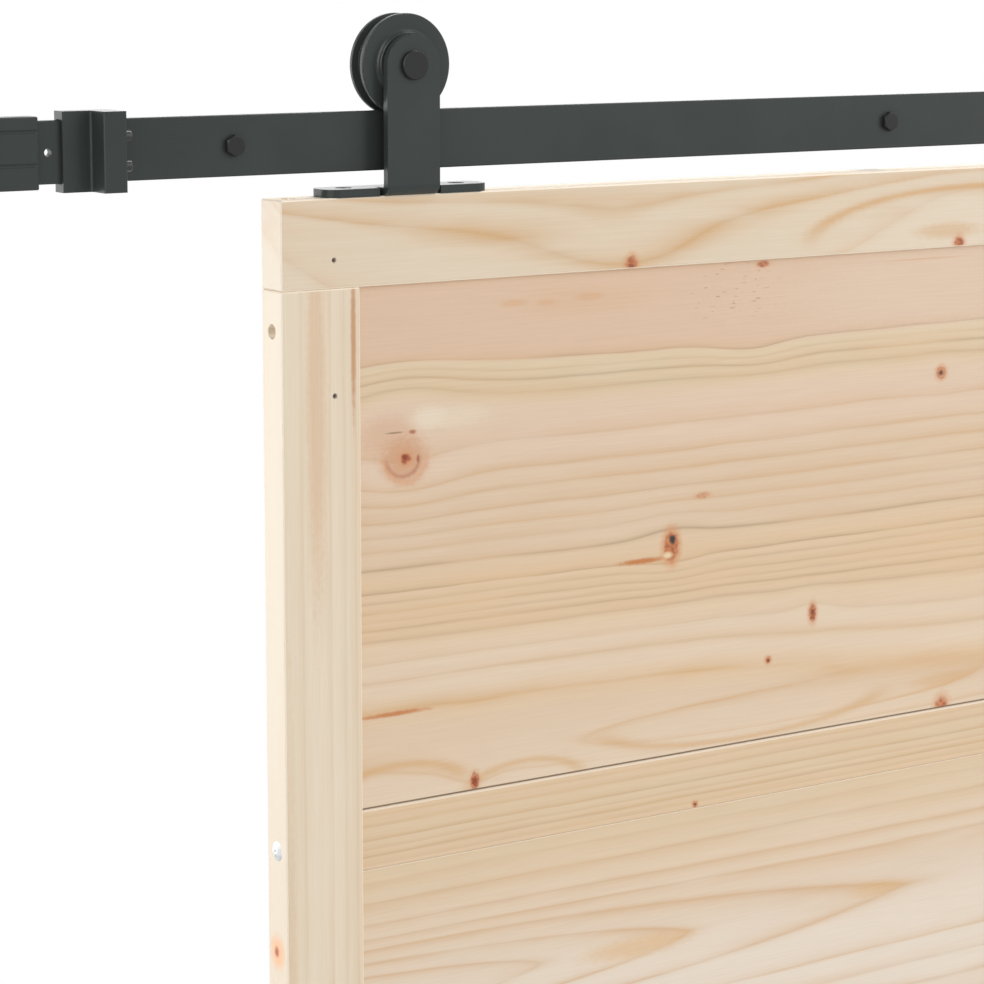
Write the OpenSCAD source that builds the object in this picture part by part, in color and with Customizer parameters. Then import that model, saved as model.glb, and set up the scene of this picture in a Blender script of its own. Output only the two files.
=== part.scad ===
// Sliding barn door: a framed pine leaf hung from a flat wall rail on two roller hangers.
// Millimetres. X runs along the rail, the front faces -Y and Z points up.
// The origin is the middle of the wall bolt row, on the wall plane.

/* [Rail] */
// Length of the flat rail
rail_len = 2000; // [1800:10:2400]
// Height of the flat rail
rail_h = 40; // [36:1:48]
// Thickness of the flat rail
rail_t = 6; // [5:0.5:8]
// Chamfer on the rail's edges
rail_ease = 0.6; // [0.2:0.1:1]
// Distance from each rail end to the nearest wall bolt
bolt_inset = 166; // [120:1:220]
// Diameter of the small hole near each rail end
end_hole_d = 5; // [3:0.5:8]

/* [Wall fixings] */
// Length of a wall spacer, the gap between the wall and the rail
spacer_len = 25; // [22:1:40]
// Outer diameter of a wall spacer
spacer_d = 22; // [18:1:26]
// Chamfer on a spacer's rims
spacer_ease = 1; // [0.3:0.1:2]
// Diameter of a wall bolt's plain shank
bolt_d = 8; // [6:0.5:10]
// How much thinner the bolt's thread is, taken at its pitch diameter
bolt_thread_drop = 0.4; // [0.2:0.1:1]
// Width across the flats of a wall bolt's head
bolt_head_af = 12.5; // [12:0.5:16]
// Height of a wall bolt's head
bolt_head_h = 4; // [3:0.5:5]
// Length of thread that enters the wall
bolt_embed = 45; // [30:1:80]
// Length of the bolt's pointed tip
bolt_tip = 6; // [3:0.5:10]

/* [Rail end caps] */
// Length of rail that a cap covers
cap_grip = 25.6; // [18:0.2:36]
// Thickness of a cap's top, bottom, back and end walls
cap_wall = 2.7; // [2:0.1:4]
// Thickness of a cap's front wall
cap_front = 5.5; // [4:0.1:8]
// Chamfer on a cap's edges
cap_ease = 0.8; // [0.3:0.1:1.5]
// Radius of the two finger grooves along a cap's front
cap_groove_r = 1.4; // [0.8:0.1:2]
// Depth of those grooves
cap_groove_depth = 0.9; // [0.4:0.1:1.5]
// Height of the upper groove above the rail's centreline
cap_groove_above = 13.5; // [8:0.5:16]
// Depth of the lower groove below the rail's centreline
cap_groove_below = 7.5; // [4:0.5:14]

/* [End stops] */
// Bare rail between a cap and its stop
stop_gap = 17.6; // [12:0.2:30]
// Width of a stop along the rail
stop_w = 36; // [30:1:50]
// Thickness of the plate in front of the rail
stop_plate_t = 3; // [2:0.5:5]
// Thickness of the legs above and below the rail
stop_leg_t = 5.4; // [4:0.2:8]
// Thickness of the lips that hook behind the rail
stop_lip_t = 2.5; // [1.5:0.5:4]
// Height of those lips
stop_lip_h = 6; // [3:0.5:10]
// Width of the block that catches the hanger
stop_block_w = 16; // [14:0.5:22]
// How far the block stands forward of the plate
stop_reach = 18; // [16:0.5:26]
// Fillet between the plate and the block
stop_fillet = 2; // [0.5:0.5:4]
// Chamfer on the block's front edges
stop_ease = 0.8; // [0.3:0.1:2]
// Diameter of a rubber buffer
buffer_d = 7.5; // [6:0.5:10]
// Length of a buffer beyond the block
buffer_len = 7; // [4:0.5:12]
// Radius of a buffer's rounded rim
buffer_round = 1.5; // [0.5:0.1:2.5]
// Diameter of the stem that plugs a buffer into the block
buffer_stem_d = 4; // [3:0.5:5]
// Length of that stem
buffer_stem_len = 6; // [4:0.5:10]
// Height between the two buffers of a stop
buffer_pitch = 18.8; // [14:0.2:26]
// Diameter of the set screws that clamp a stop to the rail
grub_d = 5; // [4:0.5:5]
// How far a set screw sits below the face of the leg
grub_sink = 1; // [0.5:0.1:2]
// Width across the flats of a set screw's socket
grub_socket_af = 2.5; // [2:0.1:3]
// Depth of a set screw's socket
grub_socket_depth = 2; // [1:0.1:2.4]

/* [Rollers] */
// Diameter of the tread that runs on the rail
tread_d = 59.6; // [54:0.2:70]
// Height of the flanges above the tread
flange_h = 4.5; // [3:0.5:8]
// Thickness of a flange at the tread
flange_t = 4; // [3:0.5:6]
// How much the groove opens from the tread to the rim, each side
flange_taper = 0.8; // [0.2:0.1:1.5]
// Chamfer on the rims of the flanges
flange_ease = 0.6; // [0.2:0.1:1]
// Side clearance between the rail and each flange
groove_side_gap = 1.5; // [1:0.1:3]
// Diameter of the hub boss
hub_d = 44; // [40:1:48]
// How far the hub boss stands out of the wheel's face
hub_boss = 3; // [2:0.5:5]
// Fillet between the hub boss and the wheel's face
hub_fillet = 2.4; // [1:0.1:3]
// Chamfer on the rim of the hub boss
hub_ease = 0.6; // [0.2:0.1:1]
// Running gap between the hub and the hanger's strap
hub_gap = 1; // [0.5:0.1:3]
// Outer diameter of the ball bearing
bearing_od = 28; // [26:0.5:32]
// Width of the ball bearing
bearing_w = 8; // [7:0.5:10]
// Diameter of the bearing's balls
ball_d = 4.8; // [4:0.1:5]
// Thickness of the bearing's side shields
shield_t = 0.6; // [0.4:0.1:1]
// Wall between the bearing's seat and the front of the hub, measured in from the bearing's rim
seat_lip = 3; // [2:0.5:4]

/* [Hangers] */
// Distance from each side of the door to a hanger's centre
hanger_inset = 100; // [85:1:200]
// Thickness of the bent plate
plate_t = 5.5; // [4:0.5:7]
// Width of the upright strap
strap_w = 41; // [36:1:50]
// Inner radius of the bend between strap and foot
bend_r = 1.5; // [1:0.5:4]
// Length of the foot along the door
foot_len = 128; // [120:1:160]
// Depth of the foot across the door's top
foot_d = 27; // [25:0.5:32]
// Corner radius of the foot
foot_corner_r = 10; // [4:0.5:12]
// Width of the relief notches beside the bend
notch_w = 3.5; // [2:0.5:6]
// Depth of the relief notches
notch_depth = 8; // [7:0.5:10]
// Distance between a foot's two screws
foot_screw_pitch = 89; // [80:1:96]
// Diameter of a foot screw's shank
foot_screw_d = 5.5; // [4:0.5:7]
// Diameter of a foot screw's countersunk head
foot_screw_head_d = 11; // [10:0.5:13]
// Length of a foot screw below the foot
foot_screw_len = 42; // [30:1:50]
// How far a foot screw's head lies below the foot's face
foot_screw_sink = 0.4; // [0.2:0.1:1]
// Diameter of the axle
axle_d = 12; // [10:0.5:13]
// Diameter of the axle's flat head
axle_head_d = 19.5; // [17:0.5:26]
// Height of the axle's flat head
axle_head_h = 3; // [2:0.5:5]
// Chamfer on the rim of the axle's head
axle_head_ease = 0.5; // [0.2:0.1:1]
// Wall of the spacer sleeve between strap and bearing
sleeve_wall = 2; // [1:0.1:2.5]
// Width across the flats of the axle's nut
axle_nut_af = 19; // [18:0.5:21]
// Height of the axle's nut
axle_nut_h = 10; // [6:0.5:12]
// Length of axle that shows past its nut
axle_tip = 1.5; // [0.5:0.5:3]

/* [Door frame] */
// Width of the door
door_w = 1000; // [800:10:1100]
// Height of the door
door_h = 2100; // [1900:10:2300]
// Thickness of the frame members
door_t = 27; // [26:0.5:36]
// Width of each stile
stile_w = 60; // [56:1:80]
// Height of the top and bottom rails
end_rail_h = 60; // [54:1:80]
// Chamfer on the edges of the frame members
wood_ease = 0.9; // [0.3:0.1:2]
// Gap between the rail's underside and the door's top
door_drop = 16.5; // [12:0.5:24]
// Gap at rest between the left stop's buffers and the left hanger
rest_gap = 188; // [60:1:300]

/* [Door infill] */
// Height of a cross rail
cross_rail_h = 43; // [36:1:60]
// Thickness of the panels and cross rails
panel_t = 18; // [16:0.5:20]
// How far the infill sits back from the front of the frame
panel_setback = 3.5; // [2:0.5:5]
// Chamfer on each side of the V groove above a cross rail
v_ease = 1.4; // [0.8:0.1:2.5]
// Chamfer on a panel's upper front edge
seam_ease = 0.5; // [0.2:0.1:1]
// Thickness of the infill's tongues
tongue_t = 8; // [6:0.5:10]
// Length of the infill's tongues
tongue_len = 9; // [6:0.5:11]

/* [Door fixings] */
// Diameter of a corner bolt
corner_bolt_d = 6; // [5:0.5:7]
// Diameter of a corner bolt's head
corner_head_d = 10; // [9:0.5:12]
// Height of a corner bolt's head
corner_head_h = 6; // [4:0.5:8]
// Width across the flats of a corner bolt's socket
corner_socket_af = 5; // [4:0.5:6]
// How far a corner bolt's head lies below the edge of the door
corner_sink = 1; // [0.5:0.5:4]
// Diameter of a barrel nut
barrel_d = 10; // [9:0.5:12]
// Length of a barrel nut
barrel_len = 14; // [12:0.5:20]
// How far a barrel nut lies inside the stile's edge
barrel_sink = 6; // [2:0.5:10]
// Distance from the corner joint to the barrel nut
barrel_drop = 27.5; // [20:0.5:40]
// Diameter of a corner dowel
dowel_d = 8; // [6:0.5:10]
// Length of a corner dowel
dowel_len = 40; // [30:1:50]
// Distance from the door's side to a corner dowel
dowel_inset = 31; // [27:1:34]
// Diameter of a cross rail screw
frame_screw_d = 6; // [5:0.5:7]
// Diameter of a cross rail screw's domed head
frame_head_d = 13.5; // [11:0.5:16]
// Height of a cross rail screw's domed head
frame_head_h = 2; // [1:0.1:3]
// Diameter of the round socket in a cross rail screw's head
frame_socket_d = 4; // [3:0.5:5]
// Depth of that socket
frame_socket_depth = 1.5; // [1:0.1:2.5]
// Length of a cross rail screw inside the cross rail
frame_bite = 40; // [25:1:60]
// Diameter of the pilot holes in the door's front
pilot_d = 3; // [2:0.5:5]
// Depth of the pilot holes
pilot_depth = 15; // [8:1:20]
// Distance from the door's side to the pilot holes
pilot_inset = 40; // [34:1:44]
// Distance from the door's top to the upper pilot hole
pilot_drop = 41; // [34:1:46]
// Distance between a side's two pilot holes
pilot_pitch = 91; // [80:1:120]

/* [Hidden] */
$fn = 64;
// Overrun of every cut
cut = 2;
// Radial clearance of shafts and pins in their bores
run_gap = 0.05;
// Clearance of bolts and screws in plain holes
bolt_gap = 0.25;
// Clearance of the rail in caps and stops
rail_gap = 0.2;
// Gap between the tread and the rail's top
roll_gap = 0.3;
// Gap between neighbouring pieces of wood
wood_gap = 0.15;
// Depth left free behind a tongue for the wood to swell
swell_gap = 1;
// Gap between the bearing's shields and its inner ring
shield_gap = 0.3;
// How far the bearing's shields sit inside its faces
shield_inset = 0.4;
// Ball groove edge as a share of the ball's diameter from the pitch circle
ring_share = 0.25;
// Places of a stop's set screws as shares of its width
grub_shares = [0.3, 0.78];
// Corner width of a hexagon for each unit across its flats
hex_share = 1 / cos(30);
// Bevel of a hexagon's end faces as a share of its width across flats
hex_bevel_share = 0.06;
ball_count = 8;
bolt_count = 4;
panel_count = 5;

rail_front = -(spacer_len + rail_t);
rail_back = -spacer_len;
rail_mid = -(spacer_len + rail_t / 2);
bolt_pitch = (rail_len - 2 * bolt_inset) / (bolt_count - 1);
bolt_xs = [for (i = [0 : bolt_count - 1]) bolt_inset - rail_len / 2 + i * bolt_pitch];
bolt_hole_d = bolt_d + 2 * bolt_gap;
end_hole_x = rail_len / 2 - cap_grip - stop_gap / 2;

stop_outer_x = rail_len / 2 - cap_grip - stop_gap;
stop_inner_x = stop_outer_x - stop_w;
stop_h = rail_h + 2 * rail_gap + 2 * stop_leg_t;
stop_front = rail_front - rail_gap - stop_plate_t;
stop_back = rail_back + rail_gap + stop_lip_t;
stop_nose = stop_front - stop_reach;
grub_len = stop_leg_t + rail_gap - grub_sink;

groove_w = rail_t + 2 * groove_side_gap;
wheel_w = groove_w + 2 * flange_t;
wheel_d = tread_d + 2 * flange_h;
hub_w = wheel_w + 2 * hub_boss;
axle_z = rail_h / 2 + tread_d / 2 + roll_gap;
ball_pitch_r = (axle_d + bearing_od) / 4;
ring_inner_r = ball_pitch_r - ring_share * ball_d;
ring_outer_r = ball_pitch_r + ring_share * ball_d;

strap_back = rail_mid - hub_w / 2 - hub_gap;
strap_front = strap_back - plate_t;
strap_mid = strap_front + plate_t / 2;
bend_outer_r = bend_r + plate_t;
foot_front = rail_mid - foot_d / 2;

door_top = -rail_h / 2 - door_drop;
door_bottom = door_top - door_h;
door_front = rail_mid - door_t / 2;
hanger_left_x = buffer_len + rest_gap + strap_w / 2 - stop_inner_x;
door_left = hanger_left_x - hanger_inset;
door_mid = door_left + door_w / 2;
hanger_right_x = door_left + door_w - hanger_inset;
foot_top = door_top + plate_t;

infill_h = door_h - 2 * end_rail_h;
panel_h = (infill_h - (panel_count - 1) * cross_rail_h) / panel_count;
panel_w = door_w - 2 * stile_w;
infill_pitch = panel_h + cross_rail_h;
infill_top = door_top - end_rail_h;
infill_front = door_front + panel_setback;
infill_mid = infill_front + panel_t / 2;
groove_depth = tongue_len + swell_gap;
corner_bolt_x = door_left + barrel_sink + barrel_len / 2;
corner_bolt_len = end_rail_h + barrel_drop + barrel_d / 2 - corner_sink - corner_head_h;

steel = [0.27, 0.28, 0.275];
dark_steel = [0.2, 0.2, 0.2];
bright_steel = [0.75, 0.75, 0.76];
rubber = [0.08, 0.08, 0.08];
pine = [0.87, 0.79, 0.68];
pale_pine = [0.9, 0.83, 0.73];
beech = [0.8, 0.65, 0.48];

// Turns a piece drawn along +Z so that it runs towards the wall
module along_y() {
    rotate([-90, 0, 0]) children();
}

// Turns a piece drawn along +Z so that it runs along +X
module along_x() {
    rotate([0, 90, 0]) children();
}

// Rectangle with its four corners chamfered
module eased_rect(w, h, ease) {
    polygon([
        [ease, 0], [w - ease, 0], [w, ease], [w, h - ease],
        [w - ease, h], [ease, h], [0, h - ease], [0, ease]
    ]);
}

// Box from the origin with all twelve edges chamfered
module eased_box(size, ease) {
    intersection() {
        linear_extrude(size[2]) eased_rect(size[0], size[1], ease);
        rotate([90, 0, 90]) linear_extrude(size[0]) eased_rect(size[1], size[2], ease);
        translate([0, size[1], 0])
            rotate([90, 0, 0]) linear_extrude(size[1]) eased_rect(size[0], size[2], ease);
    }
}

// Tube along +Z with its outer rims chamfered
module eased_tube(outer_r, inner_r, len, ease) {
    rotate_extrude() polygon([
        [inner_r, 0], [outer_r - ease, 0], [outer_r, ease],
        [outer_r, len - ease], [outer_r - ease, len], [inner_r, len]
    ]);
}

// Disc along +Z with the rim of its far face chamfered
module eased_disc(r, len, ease) {
    rotate_extrude() polygon([[0, 0], [r, 0], [r, len - ease], [r - ease, len], [0, len]]);
}

// Hexagon along +Z with its far corners bevelled, and corners on the local Y axis
module hex_head(af, len) {
    bevel = hex_bevel_share * af;
    intersection() {
        rotate([0, 0, 30]) cylinder(d = af * hex_share, h = len, $fn = 6);
        union() {
            cylinder(d = af * hex_share, h = len - bevel);
            translate([0, 0, len - bevel]) cylinder(d1 = af * hex_share, d2 = af - bevel, h = bevel);
        }
    }
}

// Patch that fills the corner at the origin, on the side of -x and -y
module fillet_patch(r) {
    difference() {
        translate([-r, -r]) square(r);
        translate([-r, -r]) circle(r);
    }
}

// Flat wall rail with its bolt holes and a small hole near each end
module rail() {
    color(steel) difference() {
        translate([-rail_len / 2, rail_front, -rail_h / 2]) eased_box([rail_len, rail_t, rail_h], rail_ease);
        for (x = bolt_xs) {
            translate([x, rail_front - cut, 0]) along_y() cylinder(d = bolt_hole_d, h = rail_t + 2 * cut);
        }
        for (x = [-end_hole_x, end_hole_x]) {
            translate([x, rail_front - cut, 0]) along_y() cylinder(d = end_hole_d, h = rail_t + 2 * cut);
        }
    }
}

module wall_spacers() {
    color(steel) for (x = bolt_xs) {
        translate([x, rail_back, 0]) along_y()
            eased_tube(spacer_d / 2, bolt_hole_d / 2, spacer_len, spacer_ease);
    }
}

// Hex bolts with a plain shank in the rail and spacer, and a thread in the wall
module wall_bolts() {
    thread_r = bolt_d / 2 - bolt_thread_drop / 2;
    color(dark_steel) for (x = bolt_xs) {
        translate([x, rail_front, 0]) rotate([90, 0, 0]) hex_head(bolt_head_af, bolt_head_h);
        translate([x, rail_front, 0]) along_y() cylinder(d = bolt_d, h = rail_t + spacer_len);
        along_y() translate([x, 0, 0]) cylinder(r = thread_r, h = bolt_embed);
        along_y() translate([x, 0, bolt_embed]) cylinder(r1 = thread_r, r2 = 0, h = bolt_tip);
    }
}

// Cap pushed over the left end of the rail
module end_cap() {
    len = cap_grip + cap_wall;
    depth = cap_front + rail_t + 2 * rail_gap + cap_wall;
    height = rail_h + 2 * rail_gap + 2 * cap_wall;
    outer_x = -rail_len / 2 - cap_wall;
    front = rail_front - rail_gap - cap_front;
    color(steel) difference() {
        translate([outer_x, front, -height / 2]) eased_box([len, depth, height], cap_ease);
        translate([-rail_len / 2, rail_front - rail_gap, -rail_h / 2 - rail_gap])
            cube([cap_grip + cut, rail_t + 2 * rail_gap, rail_h + 2 * rail_gap]);
        for (z = [cap_groove_above, -cap_groove_below]) {
            translate([outer_x - cut, front + cap_groove_depth - cap_groove_r, z])
                along_x() cylinder(r = cap_groove_r, h = len + 2 * cut);
        }
    }
}

// Plan of a stop, from its outer end at x = 0, with y as in the part
module stop_plan() {
    step = stop_w - stop_block_w;
    translate([0, stop_front]) square([stop_w, stop_back - stop_front]);
    translate([step, stop_front]) fillet_patch(stop_fillet);
    polygon([
        [step, stop_front], [step, stop_nose + stop_ease], [step + stop_ease, stop_nose],
        [stop_w - stop_ease, stop_nose], [stop_w, stop_nose + stop_ease], [stop_w, stop_front]
    ]);
}

// Places a piece drawn from a stop's outer end, at the left end of the rail
module at_left_stop() {
    translate([-stop_outer_x, 0, 0]) children();
}

// Stop that hooks round the rail, with a block that catches the hanger's strap
module end_stop() {
    color(steel) at_left_stop() difference() {
        translate([0, 0, -stop_h / 2]) linear_extrude(stop_h) stop_plan();
        translate([-cut, rail_front - rail_gap, -rail_h / 2 - rail_gap])
            cube([stop_w + 2 * cut, rail_t + 2 * rail_gap, rail_h + 2 * rail_gap]);
        translate([-cut, rail_mid, stop_lip_h - rail_h / 2])
            cube([stop_w + 2 * cut, spacer_len, rail_h - 2 * stop_lip_h]);
        for (side = [-1, 1]) {
            translate([stop_w - buffer_stem_len, strap_mid, side * buffer_pitch / 2])
                along_x() cylinder(d = buffer_stem_d + 2 * run_gap, h = buffer_stem_len + cut);
        }
        for (share = grub_shares) {
            translate([share * stop_w, rail_mid, -stop_h / 2 - cut])
                cylinder(d = grub_d + 2 * run_gap, h = stop_leg_t + 2 * cut);
        }
    }
}

// Half section of a buffer and its stem, turned about the y axis
module buffer_profile() {
    square([buffer_stem_d / 2, buffer_stem_len]);
    translate([0, buffer_stem_len]) square([buffer_d / 2, buffer_len - buffer_round]);
    translate([0, buffer_stem_len]) square([buffer_d / 2 - buffer_round, buffer_len]);
    translate([buffer_d / 2 - buffer_round, buffer_stem_len + buffer_len - buffer_round])
        circle(buffer_round);
}

// Rubber buffers plugged into a stop's inner face
module stop_buffers() {
    color(rubber) at_left_stop() for (side = [-1, 1]) {
        translate([stop_w - buffer_stem_len, strap_mid, side * buffer_pitch / 2])
            along_x() rotate_extrude() buffer_profile();
    }
}

// Set screws that clamp a stop to the rail from below
module stop_screws() {
    color(dark_steel) at_left_stop() for (share = grub_shares) {
        translate([share * stop_w, rail_mid, -rail_h / 2 - grub_len]) difference() {
            cylinder(d = grub_d, h = grub_len);
            translate([0, 0, -cut])
                cylinder(d = grub_socket_af * hex_share, h = grub_socket_depth + cut, $fn = 6);
        }
    }
}

// Outline of a hanger's foot, about the hanger's centre
module foot_plan() {
    span = foot_len / 2 - foot_corner_r;
    difference() {
        union() {
            for (x = [-span, span], y = [foot_corner_r, foot_d - foot_corner_r]) {
                translate([x, foot_front + y]) circle(foot_corner_r);
            }
            translate([-span, foot_front]) square([2 * span, foot_d]);
            translate([-foot_len / 2, foot_front + foot_corner_r])
                square([foot_len, foot_d - 2 * foot_corner_r]);
        }
        for (x = [-strap_w / 2 - notch_w, strap_w / 2]) {
            translate([x, foot_front - cut]) square([notch_w, notch_depth + cut]);
        }
        translate([-strap_w / 2, foot_front - cut])
            square([strap_w, strap_front + bend_outer_r - foot_front + cut]);
    }
}

// Quarter ring of the bend, in the plane of y and z, about the bend's centre
module bend_section() {
    intersection() {
        difference() {
            circle(bend_outer_r);
            circle(bend_r);
        }
        translate([-bend_outer_r, -bend_outer_r]) square(bend_outer_r);
    }
}

// Outline of the upright strap, from the top of the bend to its round head
module strap_outline() {
    base = door_top + bend_outer_r;
    translate([-strap_w / 2, base]) square([strap_w, axle_z - base]);
    translate([0, axle_z]) circle(d = strap_w);
}

// Hanger bent from one T-shaped plate: an upright strap and a foot on the door's top
module hanger(x) {
    sink = foot_screw_head_d / 2 - foot_screw_d / 2;
    hole_d = foot_screw_d + 2 * bolt_gap;
    head_hole_d = foot_screw_head_d + 2 * bolt_gap;
    color(steel) translate([x, 0, 0]) difference() {
        union() {
            translate([0, 0, door_top]) linear_extrude(plate_t) foot_plan();
            translate([-strap_w / 2, strap_front + bend_outer_r, door_top + bend_outer_r])
                rotate([90, 0, 90]) linear_extrude(strap_w) bend_section();
            translate([0, strap_back, 0]) rotate([90, 0, 0]) linear_extrude(plate_t) strap_outline();
        }
        translate([0, strap_front - cut, axle_z])
            along_y() cylinder(d = axle_d + 2 * run_gap, h = plate_t + 2 * cut);
        for (side = [-1, 1]) {
            translate([side * foot_screw_pitch / 2, rail_mid, 0]) {
                translate([0, 0, door_top - cut]) cylinder(d = hole_d, h = plate_t + 2 * cut);
                translate([0, 0, foot_top - foot_screw_sink - sink])
                    cylinder(d1 = hole_d, d2 = head_hole_d, h = sink);
                translate([0, 0, foot_top - foot_screw_sink])
                    cylinder(d = head_hole_d, h = foot_screw_sink + cut);
            }
        }
    }
}

// Countersunk screws that hold a foot to the door's top
module foot_screws(x) {
    sink = foot_screw_head_d / 2 - foot_screw_d / 2;
    head_top = foot_top - foot_screw_sink;
    color(dark_steel) for (side = [-1, 1]) {
        translate([x + side * foot_screw_pitch / 2, rail_mid, 0]) difference() {
            union() {
                translate([0, 0, head_top - sink])
                    cylinder(d1 = foot_screw_d, d2 = foot_screw_head_d, h = sink);
                translate([0, 0, door_top - foot_screw_len])
                    cylinder(d = foot_screw_d, h = foot_screw_len + head_top - sink - door_top);
            }
            translate([0, 0, head_top - sink])
                cylinder(d = foot_screw_d * hex_share / 2, h = sink + cut, $fn = 6);
        }
    }
}

// Places a piece drawn along +Z on a wheel's axis, with its start at depth y
module at_axle(x, y) {
    translate([x, y, axle_z]) along_y() children();
}

// Shoulder bolt with a flat round head in front of the strap
module axle(x) {
    reach = plate_t + hub_gap + hub_w / 2 + bearing_w / 2 + axle_nut_h + axle_tip;
    color(dark_steel) {
        translate([x, strap_front, axle_z]) rotate([90, 0, 0])
            eased_disc(axle_head_d / 2, axle_head_h, axle_head_ease);
        at_axle(x, strap_front) cylinder(d = axle_d, h = reach);
    }
}

// Sleeve that spaces the bearing's inner ring off the strap
module axle_sleeve(x) {
    len = hub_gap + hub_w / 2 - bearing_w / 2;
    color(bright_steel) at_axle(x, strap_back) difference() {
        cylinder(d = axle_d + 2 * sleeve_wall, h = len);
        translate([0, 0, -cut]) cylinder(d = axle_d + 2 * run_gap, h = len + 2 * cut);
    }
}

// Nut that clamps the bearing's inner ring
module axle_nut(x) {
    color(dark_steel) at_axle(x, rail_mid + bearing_w / 2) difference() {
        hex_head(axle_nut_af, axle_nut_h);
        translate([0, 0, -cut]) cylinder(d = axle_d + 2 * run_gap, h = axle_nut_h + 2 * cut);
    }
}

// Circle that the balls run in, in the half section of the bearing
module ball_groove() {
    translate([ball_pitch_r, 0]) circle(d = ball_d + 2 * run_gap);
}

module bearing_inner(x) {
    bore_r = axle_d / 2 + run_gap;
    color(bright_steel) at_axle(x, rail_mid) rotate_extrude() difference() {
        translate([bore_r, -bearing_w / 2]) square([ring_inner_r - bore_r, bearing_w]);
        ball_groove();
    }
}

// Outer ring with its two pressed-in side shields
module bearing_outer(x) {
    shield_r = ring_inner_r + shield_gap;
    shield_y = bearing_w / 2 - shield_inset - shield_t;
    color(bright_steel) at_axle(x, rail_mid) rotate_extrude() {
        difference() {
            translate([ring_outer_r, -bearing_w / 2]) square([bearing_od / 2 - ring_outer_r, bearing_w]);
            ball_groove();
        }
        for (y = [-shield_y - shield_t, shield_y]) {
            translate([shield_r, y]) square([ring_outer_r - shield_r + shield_t, shield_t]);
        }
    }
}

module bearing_balls(x) {
    color(bright_steel) at_axle(x, rail_mid) for (i = [0 : ball_count - 1]) {
        rotate([0, 0, i * 360 / ball_count]) translate([ball_pitch_r, 0, 0]) sphere(d = ball_d);
    }
}

// Half section of a wheel, with the wheel's axis as the y axis
module wheel_section() {
    rim_r = wheel_d / 2;
    face = wheel_w / 2;
    hub_r = hub_d / 2;
    difference() {
        union() {
            polygon([
                [0, -face], [rim_r - flange_ease, -face], [rim_r, flange_ease - face],
                [rim_r, -groove_w / 2 - flange_taper], [tread_d / 2, -groove_w / 2],
                [tread_d / 2, groove_w / 2], [rim_r, groove_w / 2 + flange_taper],
                [rim_r, face - flange_ease], [rim_r - flange_ease, face], [0, face]
            ]);
            polygon([
                [0, -hub_w / 2], [hub_r - hub_ease, -hub_w / 2], [hub_r, hub_ease - hub_w / 2],
                [hub_r, hub_w / 2 - hub_ease], [hub_r - hub_ease, hub_w / 2], [0, hub_w / 2]
            ]);
            for (side = [0, 1]) {
                mirror([0, side]) translate([hub_r, face]) rotate([0, 0, 180]) fillet_patch(hub_fillet);
            }
        }
        translate([0, -bearing_w / 2]) square([bearing_od / 2 + run_gap, hub_w]);
        translate([0, -hub_w]) square([bearing_od / 2 - seat_lip, hub_w]);
    }
}

// Grooved wheel with a hub boss on both faces and a bearing seat open to the back
module wheel(x) {
    color(steel) at_axle(x, rail_mid) rotate_extrude() wheel_section();
}

// Mirrors a piece of the door's left side to its right side
module at_right_side() {
    translate([2 * door_mid, 0, 0]) mirror([1, 0, 0]) children();
}

// Draws a piece on the door's left side and again on its right side
module both_sides() {
    children();
    at_right_side() children();
}

// Draws a piece in the door's upper half and again in its lower half
module both_ends() {
    children();
    translate([0, 0, door_top + door_bottom]) mirror([0, 0, 1]) children();
}

// Bores of one upper left corner: bolt, head, barrel nut and dowel
module corner_bores() {
    translate([corner_bolt_x, rail_mid, door_top - corner_sink - corner_head_h])
        cylinder(d = corner_head_d + 2 * bolt_gap, h = corner_head_h + corner_sink + cut);
    translate([corner_bolt_x, rail_mid, door_top - corner_sink - corner_head_h - corner_bolt_len])
        cylinder(d = corner_bolt_d + 2 * bolt_gap, h = corner_bolt_len + cut);
    translate([door_left - cut, rail_mid, infill_top - barrel_drop])
        along_x() cylinder(d = barrel_d + 2 * run_gap, h = barrel_sink + barrel_len + cut);
    translate([door_left + dowel_inset, rail_mid, infill_top - dowel_len / 2])
        cylinder(d = dowel_d + 2 * run_gap, h = dowel_len);
}

// Pilot holes of the left side, bored into the front
module pilot_bores() {
    for (i = [0, 1]) {
        translate([door_left + pilot_inset, door_front - cut, door_top - pilot_drop - i * pilot_pitch])
            along_y() cylinder(d = pilot_d, h = pilot_depth + cut);
    }
}

// Groove that takes the infill's tongues, as a slab over the whole infill
module tongue_groove() {
    slot = tongue_t + 2 * wood_gap;
    translate([
        door_left + stile_w - groove_depth, infill_mid - slot / 2,
        door_bottom + end_rail_h - groove_depth
    ]) cube([panel_w + 2 * groove_depth, slot, infill_h + 2 * groove_depth]);
}

// Beam across the whole width of the door, above or below the stiles
module end_beam(z) {
    translate([door_left, door_front, z]) eased_box([door_w, door_t, end_rail_h], wood_ease);
}

module top_rail() {
    color(pine) difference() {
        end_beam(infill_top);
        intersection() {
            tongue_groove();
            translate([door_left + stile_w, door_front, infill_top - cut])
                cube([panel_w, door_t, end_rail_h]);
        }
        both_sides() {
            corner_bores();
            pilot_bores();
        }
        for (x = [hanger_left_x, hanger_right_x], side = [-1, 1]) {
            translate([x + side * foot_screw_pitch / 2, rail_mid, door_top - foot_screw_len])
                cylinder(d = foot_screw_d + 2 * run_gap, h = foot_screw_len + cut);
        }
    }
}

module bottom_rail() {
    color(pine) difference() {
        end_beam(door_bottom);
        intersection() {
            tongue_groove();
            translate([door_left + stile_w, door_front, door_bottom])
                cube([panel_w, door_t, end_rail_h + cut]);
        }
        both_ends() both_sides() corner_bores();
    }
}

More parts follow.
